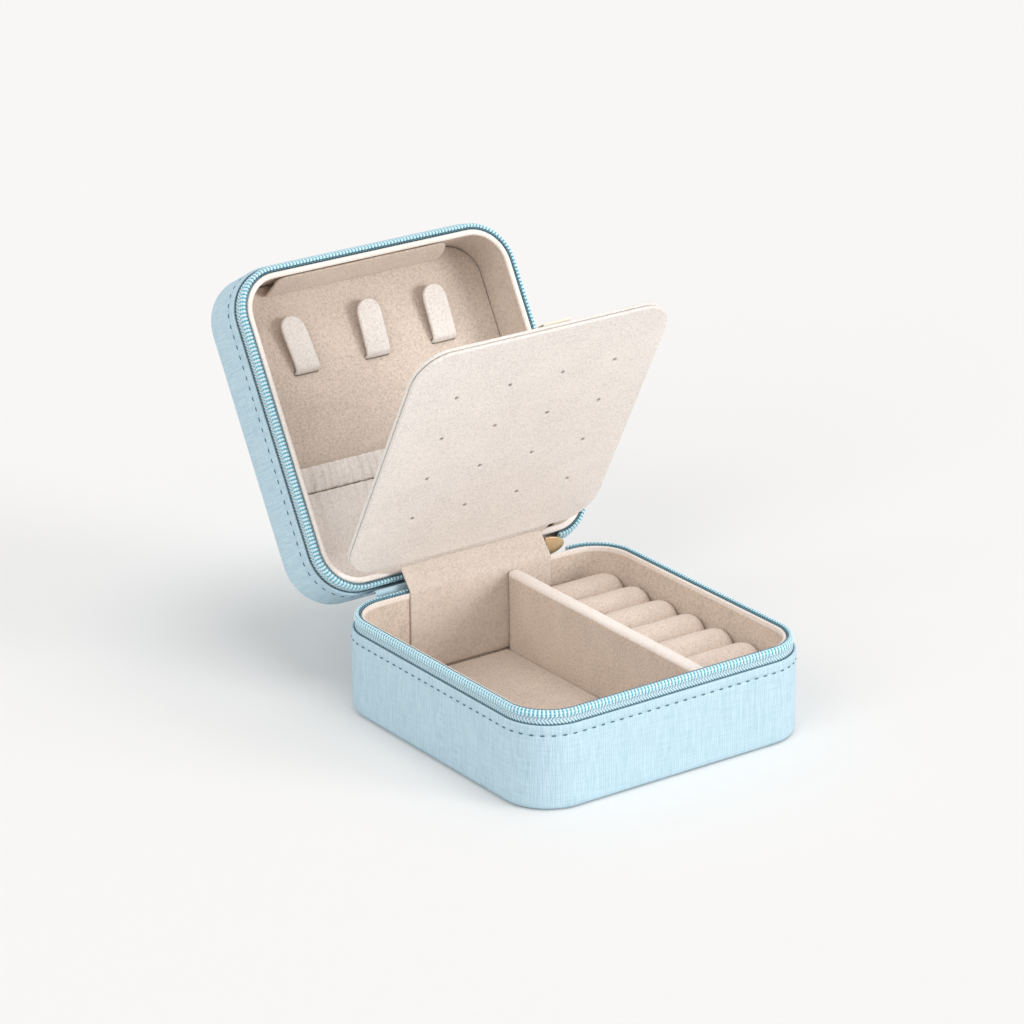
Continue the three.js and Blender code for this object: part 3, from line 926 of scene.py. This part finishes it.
def track_path(right_end):
    """Plan path from the left end on the hinge side round to right_end on the same side."""
    rows = [tuple(r) for r in plan(14, 18)]
    back = DEPTH / 2 - CORNER
    start = [(TRACK_LEFT, back, 0.0, 1.0)]
    corner = WIDTH / 2 - CORNER
    body = [r for r in rows[15:] if not (r[3] > 0.999 and r[0] > TRACK_LEFT)]
    first = rows[:15]
    if right_end <= corner:
        tail = first + [(right_end, back, 0.0, 1.0)]
    else:
        tail = [r for r in first if corner + (CORNER - 1.8) * r[2] >= right_end]
    return start + body + tail


def zipper_half(name, body, right_end, profile):
    """Section (inset, z) drawn for the base and carried along the track of base or lid."""
    if body == "lid":
        profile = [(inset, 2 * SPLIT - z) for inset, z in profile]
    return sweep(name, track_path(right_end), profile, closed=False)


class JC_OT_zipper_tapes(bpy.types.Operator):
    """Woven tapes that rise from the leather edges and pass behind the coils"""

    bl_idname = "jewelry_case.zipper_tapes"
    bl_label = "Zipper Tapes"

    def execute(self, context):
        foot = SKIN_TOP - 0.03
        outer = [(0.92, foot), (1.0, foot + 0.45), (1.1, 26.9), (1.3, 27.6), (1.75, 28.1)]
        outer += [(2.3, 28.5), (2.45, 29.2), (2.45, 29.8), (2.57, 29.92)]
        inner = [(2.7, 29.8), (2.7, 28.5), (2.2, 27.7), (1.75, 27.2), (1.5, 26.4), (1.42, foot)]
        for body in ("base", "lid"):
            name = f"{body}_tape"
            node = f"{body}_zipper_tape"
            mesh = zipper_half(name, body, TRACK_RIGHT[body], outer + inner)
            piece(name, mesh, finish("tape"), body, (node,), PLACE[body], 60)
        return {"FINISHED"}


COIL_LEAN = math.radians(20)
COIL_CENTRE = (1.55, 29.0)


def coil_turn():
    """One turn of the coil: a tall loop across the path, pinched where two threads cross it."""
    rows = []
    for k in range(24):
        a = 2 * math.pi * k / 24
        y = 0.42 * math.copysign(abs(math.cos(a)) ** 0.8, math.cos(a))
        z = 0.86 * math.copysign(abs(math.sin(a)) ** 0.9, math.sin(a))
        pinch = 0.5 + 0.5 * math.cos(6 * a)
        radius = 0.20 + 0.10 * pinch
        wide = 0.26 + 0.30 * pinch
        ring = []
        for s in range(6):
            b = 2 * math.pi * s / 6
            out = radius * math.cos(b)
            ring.append((wide * math.sin(b), y + out * math.cos(a), z + out * math.sin(a)))
        rows.append(ring)
    mesh = grid_mesh("turn", rows, wrap_rows=True, wrap_columns=True)
    mesh.transform(Matrix.Rotation(COIL_LEAN, 4, "X"))
    return mesh


class JC_OT_zipper_coils(bpy.types.Operator):
    """Coils of both halves and the cords inside them"""

    bl_idname = "jewelry_case.zipper_coils"
    bl_label = "Zipper Coils"

    def execute(self, context):
        pitch = context.scene.jewelry_case_sizes.coil_pitch * 1000
        inset, height = COIL_CENTRE
        cos, sin = math.cos(COIL_LEAN), math.sin(COIL_LEAN)
        section = []
        for a in np.linspace(0, 2 * math.pi, 16, endpoint=False):
            y, z = 0.52 * math.cos(a), 0.95 * math.sin(a)
            section.append((inset - (y * cos - z * sin), height + (y * sin + z * cos)))
        for body in ("base", "lid"):
            name = f"{body}_coil"
            centre = height if body == "base" else 2 * SPLIT - height
            turn = coil_turn()
            turn.transform(Matrix.Scale(-1, 4, (0, 1, 0)))
            if body == "lid":
                turn.transform(Matrix.Scale(-1, 4, (0, 0, 1)))
            else:
                turn.flip_normals()
            r = CORNER - inset
            track = track_path(TRACK_RIGHT[body])
            middle = [(x + nx * r, y + ny * r, centre) for x, y, nx, ny in track]
            mesh = repeated(name, middle, turn, pitch, finish("coil"), skew=4)
            node = f"{body}_zipper_coil"
            piece(name, mesh, finish("coil"), body, (node,), PLACE[body], 80)
            cord = zipper_half(f"{name}_cord", body, TRACK_RIGHT[body], section)
            piece(f"{name}_cord", cord, finish("core"), body, (), PLACE[body], 60)
        return {"FINISHED"}


class JC_OT_slider(bpy.types.Operator):
    """Zipper slider with its bail, and the half-disc pull"""

    bl_idname = "jewelry_case.slider"
    bl_label = "Slider and Pull"

    def execute(self, context):
        y, z = HINGE
        x0, x1 = SLIDER
        middle = (x0 + x1) / 2
        upright = Matrix.Rotation(math.pi / 2, 4, "X")
        plate = rounded(-1.35, 1.35, -1.9, 1.9, (0.9, 0.5, 0.5, 0.9), 5)
        parts = []
        for side in (-1.3, 1.3):
            mesh = card("plate", plate, -0.35, 0.35, 0.16)
            mesh.transform(Matrix.Translation((middle, y + side, z)) @ upright)
            parts.append(mesh)
        post = card("post", rounded(-0.6, 0.6, -1.1, 1.1, (0.3,) * 4, 4), -0.6, 0.6, 0.15)
        post.transform(Matrix.Translation((middle, y, z)))
        parts.append(post)
        bail = []
        for a in np.linspace(0, math.pi, 13):
            centre = Vector((middle - 0.9 + 1.8 * (1 - math.cos(a)) / 2, y + 1.5 + 0.55 * math.sin(a), z))
            ring = []
            for b in np.linspace(0, 2 * math.pi, 8, endpoint=False):
                out = Vector((-math.cos(a), math.sin(a), 0)) * 0.26 * math.cos(b)
                ring.append(centre + out + Vector((0, 0, 0.42 * math.sin(b))))
            bail.append(ring)
        parts.append(grid_mesh("bail", bail, wrap_columns=True))
        body = joined("slider_body", parts)
        piece("slider_body", body, finish("slider"), "slider", ("zipper_slider",))

        length, half = 7.0, 2.9
        bow = [(length * math.cos(a), half * math.sin(a)) for a in np.linspace(-1.5, 1.5, 25)]
        disc = card("pull_disc", [(0.0, -half), *bow, (0.0, half)], -0.4, 0.4, 0.18)
        disc.transform(Matrix.Translation((x1 + 0.3, y, z)) @ upright)
        piece("pull_tab", disc, finish("pull"), "pull", ("zipper_pull",))
        return {"FINISHED"}


# ---- lining of the base ---------------------------------------------------------------------


def liner_profile(foot, rim, roll):
    """Closed section of a padded wall lining; roll is how far its rim rolls inwards."""
    up = 1 if rim > foot else -1
    radius = (LINER_IN - LINER_OUT + roll) / 2
    centre = LINER_OUT + radius
    shoulder = rim - up * radius * 0.8
    crest = [(centre + x, shoulder + up * z * 0.8) for x, z in arc(0, 0, radius, 180, 0, 8)]
    below = [(LINER_IN + roll * 0.55, rim - up * 1.3), (LINER_IN + roll * 0.15, rim - up * 2.4)]
    wall = [(LINER_IN, rim - up * 4.0), (LINER_IN, (rim + foot) / 2), (LINER_IN, foot)]
    return [(LINER_OUT, foot), (LINER_OUT, (rim + foot) / 2), *crest, *below, *wall]


class JC_OT_liners(bpy.types.Operator):
    """Velvet wall linings of the base and the lid, the lid's rim flat behind the strap"""

    bl_idname = "jewelry_case.liners"
    bl_label = "Velvet Linings"

    def execute(self, context):
        path = plan(14, 18)
        base = sweep("base_lining", path, liner_profile(FLOOR, 29.4, 0.1))
        piece("base_lining", base, finish("base_lining"), "base", ("base_liner",), None, 60)
        lid = sweep("lid_lining", path, liner_profile(48.3, 30.9, 1.0))
        face = DEPTH / 2 - LINER_IN
        flat_half = 28
        for vert in lid.vertices:
            if abs(vert.co.x) < flat_half and face - 2 < vert.co.y < face:
                vert.co.y = face
        piece("lid_lining", lid, finish("lid_lining"), "lid", ("lid_liner",), LID, 60)
        return {"FINISHED"}


def clipped(inset, x0, x1, y1):
    """Outline at an inset, cut off at x0, x1 and y1."""
    kept = []
    for x, y in outline(inset, 10, 6):
        p = (min(max(x, x0), x1), min(y, y1))
        if not kept or math.dist(p, kept[-1]) > 0.05:
            kept.append(p)
    if math.dist(kept[0], kept[-1]) < 0.05:
        kept.pop()
    return kept


class JC_OT_floor(bpy.types.Operator):
    """Velvet floor pad and the foam bed under the rolls"""

    bl_idname = "jewelry_case.floor"
    bl_label = "Floor Pad and Ring Bed"

    def execute(self, context):
        pad = card("floor_pad", clipped(3.85, -60, 9.85, 46.1), FLOOR, 3.5, 0.3)
        obj = piece("floor_pad", pad, finish("velvet"), "base", ("base_floor_pad",))
        bed = card("foam_bed", clipped(3.85, 14.55, 60, 46.1), FLOOR, 8.9, 0.9, steps=4)
        obj = piece("foam_bed", bed, finish("velvet"), "base", ("ring_bed",))
        return {"FINISHED"}


class JC_OT_divider(bpy.types.Operator):
    """Velvet-covered divider with a rounded top"""

    bl_idname = "jewelry_case.divider"
    bl_label = "Divider"

    def execute(self, context):
        centre, half, top, edge = 12.2, 2.2, 28.1, 1.2
        front, back = -46.95, 45.85
        section = [(-half, FLOOR), (-half, 9.0), (-half, 16.0), (-half, 22.0), (-half, 25.0)]
        section += [(edge - half + x, top - edge + z) for x, z in arc(0, 0, edge, 180, 90, 6)]
        section += [(0.0, top + 0.05)]
        section += [(half - edge + x, top - edge + z) for x, z in arc(0, 0, edge, 90, 0, 6)]
        section += [(half, 25.0), (half, 22.0), (half, 16.0), (half, 9.0), (half, FLOOR)]
        stations = [0, 0.15, 0.5, 1.2, 2.5, *np.linspace(5, back - front - 5, 24)]
        stations += [back - front - s for s in (2.5, 1.2, 0.5, 0.15, 0)]
        rows = []
        for s in stations:
            end = min(s, back - front - s)
            slim = 1 - 0.16 * math.exp(-end / 0.45)
            row = []
            for x, z in section:
                y = front + s
                lift = max(0.0, (z - 18.0) / 9.6)
                wave = 0.12 * ruffle(y, z, x, 11.0, 3.1) * min(1, end / 4)
                slant = (s / (back - front) - 0.5) * lift
                rise = 0.8 * slant + 0.10 * lift * ruffle(y, 0, 0, 17.0, 5.0)
                row.append((centre + (x + wave) * slim - 0.5 * slant, y, z + rise))
            rows.append(row)
        mesh = grid_mesh("divider_wall", rows, wrap_columns=True)
        obj = piece("divider_wall", mesh, finish("divider"), "base", ("divider",), None, 60)
        return {"FINISHED"}


class JC_OT_rolls(bpy.types.Operator):
    """Seven soft ring rolls"""

    bl_idname = "jewelry_case.rolls"
    bl_label = "Ring Rolls"

    def execute(self, context):
        left, right = 14.55, 46.15
        middle, half = (left + right) / 2, (right - left) / 2
        for index in range(7):
            centre = (3 - index) * ROLL_PITCH
            seed = 1.7 * index
            ends = [math.sin(t) for t in np.linspace(-math.pi / 2, math.pi / 2, 27)]
            rows = []
            for e in ends:
                swell = max(0.0, 1 - abs(e) ** 9) ** (1 / 3.2)
                swell = max(swell, 0.02)
                x = middle + half * e
                ring = []
                for k in range(32):
                    a = 2 * math.pi * k / 32
                    y, z = math.cos(a), math.sin(a)
                    r = ROLL_RADIUS * swell * (1 + 0.022 * ruffle(x, 6 * y, 6 * z, 7.0, seed))
                    squash = 0.97 if z < -0.6 else 1.0
                    ring.append((x, centre + r * y * 0.995, ROLL_HEIGHT + r * z * squash))
                rows.append(ring)
            name = f"roll_{index + 1}"
            mesh = grid_mesh(name, rows, wrap_columns=True)
            for vert in mesh.vertices:
                if abs(vert.co.y) > ROLL_LIMIT:
                    vert.co.y = math.copysign(ROLL_LIMIT, centre)
            obj = piece(name, mesh, finish("roll"), "base", (f"ring_{name}",), None, 70)
        return {"FINISHED"}


# ---- lining of the lid --------------------------------------------------------------------------


class JC_OT_ceiling(bpy.types.Operator):
    """Padded ceiling of the lid, slit for the hooks"""

    bl_idname = "jewelry_case.ceiling"
    bl_label = "Lid Ceiling"

    def execute(self, context):
        front, back = HOOK_ROOT - 0.75, HOOK_ROOT + 0.75
        slits = [rounded(x - HOOK_HALF, x + HOOK_HALF, front, back, (0.3,) * 4, 3) for x in HOOKS]
        pad = card("ceiling", outline(3.95, 14, 6), CEILING, 48.3, 0.3, slits)
        obj = piece("ceiling_pad", pad, finish("velvet"), "lid", ("lid_ceiling_pad",), LID)
        return {"FINISHED"}


class JC_OT_hooks(bpy.types.Operator):
    """Three folded velvet tabs for necklaces"""

    bl_idname = "jewelry_case.hooks"
    bl_label = "Necklace Hooks"

    def execute(self, context):
        root_y, tilt = HOOK_ROOT, math.radians(6)
        for index, (x, twist) in enumerate(zip(HOOKS, (8.5, 0.0, 1.5))):
            line = [(root_y, CEILING + 0.6), (root_y, CEILING - 0.3), (root_y - 0.12, CEILING - 1.0)]
            line += [(root_y - 0.6, CEILING - 1.5)]
            start = Vector((root_y - 1.3, CEILING - 1.75))
            for s in (0.0, 2.0, 4.5, 7.0, 9.5, 11.2, 12.4, 13.4, 14.3, 15.1, 15.7):
                line.append((start.x - s * math.cos(tilt), start.y - s * math.sin(tilt)))
            total = len(line)
            rows = []
            for k, (y, z) in enumerate(line):
                run = max(0.0, start.x - y - 11.4)
                half = HOOK_HALF
                if run > 0:
                    half = max(0.9, HOOK_HALF * math.sqrt(max(0.0, 1 - (run / 4.3) ** 2)))
                side = -math.tan(math.radians(twist)) * max(0.0, start.x - y)
                row = []
                for w in np.linspace(-1, 1, 9):
                    row.append((x + side + half * w, y, z + 0.12 * (1 - w * w) * (k / total)))
                rows.append(row)
            mesh = soft(grid_mesh("hook", rows), 1.15, 2)
            name = f"hook_{index + 1}"
            obj = piece(name, mesh, finish("flap"), "lid", (f"necklace_{name}",), LID)
        return {"FINISHED"}


class JC_OT_catch_lip(bpy.types.Operator):
    """Folded velvet leaf on the front wall of the lid, which keeps the flap's edge"""

    bl_idname = "jewelry_case.catch_lip"
    bl_label = "Catch Lip"

    def execute(self, context):
        root = Vector((-43.65, 47.15))
        tip = Vector((-46.4, 36.3))
        rows = []
        for x in np.linspace(-30.7, 32.2, 46):
            right = max(0.0, (x - 27.6) / 4.6)
            left = max(0.0, (-28.7 - x) / 2.0)
            reach = 1 - 0.62 * (1 - math.sqrt(max(0.0, 1 - min(1, right) ** 2))) - 0.12 * left
            row = []
            for t in np.linspace(0, 1, 9):
                p = root + (tip - root) * t * reach
                belly = 0.25 * math.sin(math.pi * t) + 0.12 * ruffle(x, 0, 0, 15.0, 2.0) * t
                row.append((x, p.x + belly, p.y))
            rows.append(row)
        mesh = soft(grid_mesh("lip", rows), 0.85, 2)
        piece("catch_leaf", mesh, finish("velvet"), "lid", ("catch_lip",), LID)
        return {"FINISHED"}


class JC_OT_pocket(bpy.types.Operator):
    """Gathered pocket with its elastic hem and hem seam"""

    bl_idname = "jewelry_case.pocket"
    bl_label = "Pocket"

    def execute(self, context):
        level, mouth, seam, rear = 43.45, 9.6, 17.4, 46.75

        def half_width(y):
            edge = WIDTH / 2 - LINER_IN - 0.35
            cy = DEPTH / 2 - CORNER
            r = CORNER - LINER_IN - 0.35
            if y <= cy:
                return edge
            return WIDTH / 2 - CORNER + math.sqrt(max(0.0, r * r - (y - cy) ** 2))

        def gather(x, fade, seed):
            fold = math.sin(2 * math.pi * (x / 3.1 + 0.5 * ruffle(x, 0, 0, 9.0, seed)))
            depth = fade * (0.55 + 0.35 * ruffle(x, 0, 0, 12.0, seed))
            return depth * (fold + 0.3 * ruffle(x, 0, 0, 2.0, seed))

        rows = []
        for w in np.linspace(-1, 1, 141):
            row = []
            for y in (seam + 0.15, 18.3, 19.5, 21, 23, 25.5, 28.5, 32, 36, 40, 43.5, rear):
                x = w * half_width(y)
                fade = math.exp(-(y - seam) / 6.5)
                side = 1 - abs(w) ** 12
                hang = 0.35 * ruffle(x, y, 0, 14.0, 1.0)
                row.append((x, y, level + side * (gather(w * 46, fade, 4.0) + hang * (1 - fade) * 0.8)))
            rows.append(row)
        cloth = soft(grid_mesh("pocket", rows), 0.6, 1)
        panel = piece("pocket_cloth", cloth, finish("flap"), "lid", ("pocket_panel",), LID)
        rows = []
        for w in np.linspace(-1, 1, 181):
            x = w * half_width(0)
            row = []
            for y, fade, drop in (
                (mouth, 1.15, 0.0),
                (mouth + 0.9, 1.05, -0.2),
                (mouth + 2.4, 0.9, -0.35),
                (mouth + 4.0, 0.85, -0.4),
                (mouth + 5.6, 0.9, -0.3),
                (seam - 0.55, 1.0, 0.0),
                (seam - 0.1, 1.0, 0.15),
            ):
                side = 1 - abs(w) ** 14
                height = level + drop * side + side * gather(w * 46, fade, 4.0)
                row.append((x, y + 0.25 * ruffle(x, 0, 0, 4.0, 8.0), height))
            rows.append(row)
        band = soft(grid_mesh("hem", rows), 0.8, 1)
        hem = piece("pocket_hem_band", band, finish("flap"), "lid", ("pocket_hem",), LID)
        path = []
        for w in np.linspace(-0.985, 0.985, 150):
            x = w * half_width(0)
            y = seam - 0.35 + 0.2 * ruffle(x, 0, 0, 4.0, 8.0)
            path.append((x, y, level - 0.42 + gather(w * 46, 1.0, 4.0)))
        pitch = context.scene.jewelry_case_sizes.hem_stitch * 1000
        stitch = capsule(1.3, 0.13, 5, 1.0)
        seam_mesh = repeated("hem_seam", path, stitch, pitch, finish("hem_thread"))
        seam_piece = piece("pocket_hem_seam", seam_mesh, finish("hem_thread"), "lid", (), LID)
        return {"FINISHED"}


# ---- strap, flap and ribbon -------------------------------------------------------------------------


class JC_OT_strap(bpy.types.Operator):
    """Velvet strap from the base wall to the foot of the flap"""

    bl_idname = "jewelry_case.strap"
    bl_label = "Flap Strap"

    def execute(self, context):
        line = [(46.6, z) for z in (3.65, 8.0, 13.0, 18.0, 23.0, 27.0, 28.6)]
        line += [(46.63, 29.4), (46.82, 30.1)]
        for s in (1.2, 2.6, 4.2, 5.8, 7.2, 8.55):
            p = STRAP @ Vector((0, 0, s))
            line.append((p.y, p.z))
        rows = []
        for x in np.linspace(-24.9, 26.1, 33):
            rows.append([(x, y + 0.05 * ruffle(x, 0, z, 9.0, 6.0), z) for y, z in line])
        mesh = soft(grid_mesh("strap", rows), 0.66, 2)
        bend = ("base", "strap", (0, 0.0465, 0.0289), (0, 0.0471, 0.0306))
        obj = piece("strap_cloth", mesh, finish("strap"), bend, ("strap_anchor", "strap_link"))
        return {"FINISHED"}


class JC_OT_flap(bpy.types.Operator):
    """Velvet-wrapped flap boards with punched stud holes"""

    bl_idname = "jewelry_case.flap"
    bl_label = "Flap"

    def execute(self, context):
        half, low, high = 44.7, 0.55, 90.05
        edge = rounded(-half, half, low, high, (11,) * 4, 14)
        holes = []
        for row in range(4):
            for column in range(4):
                x = 1.2 + (column - 1.5) * STUD_PITCH[0]
                y = 70.5 - row * STUD_PITCH[1]
                holes.append(arc(x, y, STUD_RADIUS, 0, -337.5, 15))
        front = card("flap_front", edge, -0.55, 0.55, 0.34, holes, 3)
        piece("flap_face", front, finish("flap"), "flap", ("flap_front_board",), FLAP)
        back = card("flap_back", edge, -1.95, -0.85, 0.34, (), 3)
        piece("flap_rear", back, finish("flap"), "flap", ("flap_back_board",), FLAP)
        return {"FINISHED"}


class JC_OT_ribbon(bpy.types.Operator):
    """Folded satin ribbon loop behind the flap's free edge"""

    bl_idname = "jewelry_case.ribbon"
    bl_label = "Ribbon Loop"

    def execute(self, context):
        line = [(83.0, -2.45), (85.0, -2.42), (87.0, -2.4), (88.8, -2.42), (89.6, -2.55)]
        line += [(90.1, -2.85), (90.15, -3.15), (89.8, -3.45)]
        line += [(88.4, -3.6), (86.6, -3.65), (84.6, -3.6), (83.2, -3.55)]
        rows = []
        for w in np.linspace(-1, 1, 13):
            row = []
            for y, z in line:
                above = max(0.0, (y - 87.2) / 3)
                x = 3 + 6.4 * w * (1 - 0.3 * above) + 1.2 * above
                row.append((x, y - 0.5 * above * (1 - w), z + 0.08 * math.sin(3 * w)))
            rows.append(row)
        mesh = soft(grid_mesh("ribbon", rows), 0.22, 2)
        piece("ribbon_loop_cloth", mesh, finish("ribbon"), "flap", ("ribbon_loop",), FLAP)
        return {"FINISHED"}


class JC_OT_boards(bpy.types.Operator):
    """Pressed boards between leather and lining"""

    bl_idname = "jewelry_case.boards"
    bl_label = "Hidden Boards"

    def execute(self, context):
        for name in ("base_bottom_board", "base_wall_board", "lid_top_board", "lid_wall_board"):
            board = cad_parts[name]
            for slot in board.material_slots:
                slot.material = finish("board")
        return {"FINISHED"}


# ---- panel and registration -----------------------------------------------------------------------------


MAKERS = (
    JC_OT_stage,
    JC_OT_shells,
    JC_OT_seams,
    JC_OT_hinge_strip,
    JC_OT_zipper_tapes,
    JC_OT_zipper_coils,
    JC_OT_slider,
    JC_OT_liners,
    JC_OT_floor,
    JC_OT_divider,
    JC_OT_rolls,
    JC_OT_ceiling,
    JC_OT_hooks,
    JC_OT_catch_lip,
    JC_OT_pocket,
    JC_OT_strap,
    JC_OT_flap,
    JC_OT_ribbon,
    JC_OT_boards,
)


class JC_PT_case(bpy.types.Panel):
    """Pieces, sizes and colours of the jewelry case"""

    bl_idname = "JC_PT_case"
    bl_label = "Jewelry Case"
    bl_space_type = "VIEW_3D"
    bl_region_type = "UI"
    bl_category = "Jewelry Case"

    def draw(self, context):
        scene = context.scene
        for maker in MAKERS:
            self.layout.operator(maker.bl_idname)
        for group in (scene.jewelry_case_sizes, scene.jewelry_case_look, scene.jewelry_case_stage):
            box = self.layout.box()
            for name in group.__annotations__:
                box.prop(group, name)


GROUPS = (
    (JewelryCaseLook, "jewelry_case_look"),
    (JewelryCaseSizes, "jewelry_case_sizes"),
    (JewelryCaseStage, "jewelry_case_stage"),
)


def register():
    for group, name in GROUPS:
        bpy.utils.register_class(group)
        setattr(bpy.types.Scene, name, bpy.props.PointerProperty(type=group))
    for maker in MAKERS:
        bpy.utils.register_class(maker)
    bpy.utils.register_class(JC_PT_case)


def unregister():
    bpy.utils.unregister_class(JC_PT_case)
    for maker in reversed(MAKERS):
        bpy.utils.unregister_class(maker)
    for group, name in reversed(GROUPS):
        delattr(bpy.types.Scene, name)
        bpy.utils.unregister_class(group)


def main():
    register()
    for maker in MAKERS:
        group, name = maker.bl_idname.split(".")
        getattr(getattr(bpy.ops, group), name)()


if __name__ == "__main__":
    main()
